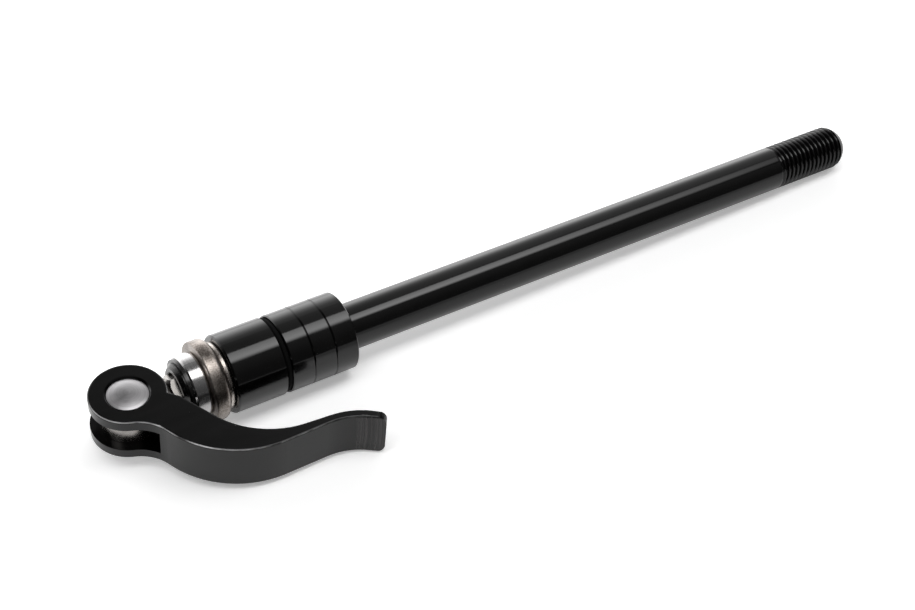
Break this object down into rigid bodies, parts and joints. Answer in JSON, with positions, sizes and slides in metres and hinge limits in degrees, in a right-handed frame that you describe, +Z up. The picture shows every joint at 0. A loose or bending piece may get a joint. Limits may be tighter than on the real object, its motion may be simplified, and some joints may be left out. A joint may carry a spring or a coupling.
{
  "type": "bicycle thru axle",
  "caption": "Hollow threaded wheel axle with loose spacer rings, a washer stack and a forked lever that folds beside the axle on a cross pin and drives it through a sprung hex.",
  "frame": {"origin": "on the axle's axis at the seat face, where the spacers meet the frame", "axes": "+X along the axle towards its thread, the lever on the -Y side, +Z up as it lies"},
  "size_m": [0.2281, 0.0452, 0.0204],
  "materials": {
    "black_anodised": "glossy black anodised",
    "black_rubber": "matt",
    "bright_nickel": "bright nickel plate",
    "matt_nickel": "matt nickel plate",
    "polished_steel": "polished",
    "dark_steel": "blackened satin",
    "plain_steel": "satin",
    "spring_steel": "drawn wire",
    "turned_steel": "satin, turned",
    "black_lever": "satin black anodised"
  },
  "bodies": {
    "axle": {"axle_shaft": "black_anodised", "spacer_ring_1": "black_anodised", "spacer_ring_2": "black_anodised", "spacer_ring_3": "black_anodised", "friction_ring": "black_rubber", "head_sleeve": "black_anodised", "thin_washer": "bright_nickel", "wide_washer": "matt_nickel", "polished_sleeve": "polished_steel", "snap_ring": "dark_steel", "socket_collar": "dark_steel", "return_spring": "spring_steel"},
    "drive": {"drive_bar": "plain_steel", "retaining_screw": "dark_steel"},
    "lever": {"lever": "black_lever", "pivot_pin": "turned_steel"}
  },
  "joints": [
    {"name": "drive_pull", "type": "slide", "parent": "axle", "child": "drive", "axis": [-1, 0, 0], "range_m": [0, 0.005], "stiffness_N_per_m": 800, "springref_m": -0.004, "deforming": ["return_spring"]},
    {"name": "lever_hinge", "type": "hinge", "parent": "drive", "child": "lever", "pos_m": [-0.0566, 0, 0], "axis": [0, -0.0957, 0.9954], "range_deg": [-180, 0]}
  ]
}
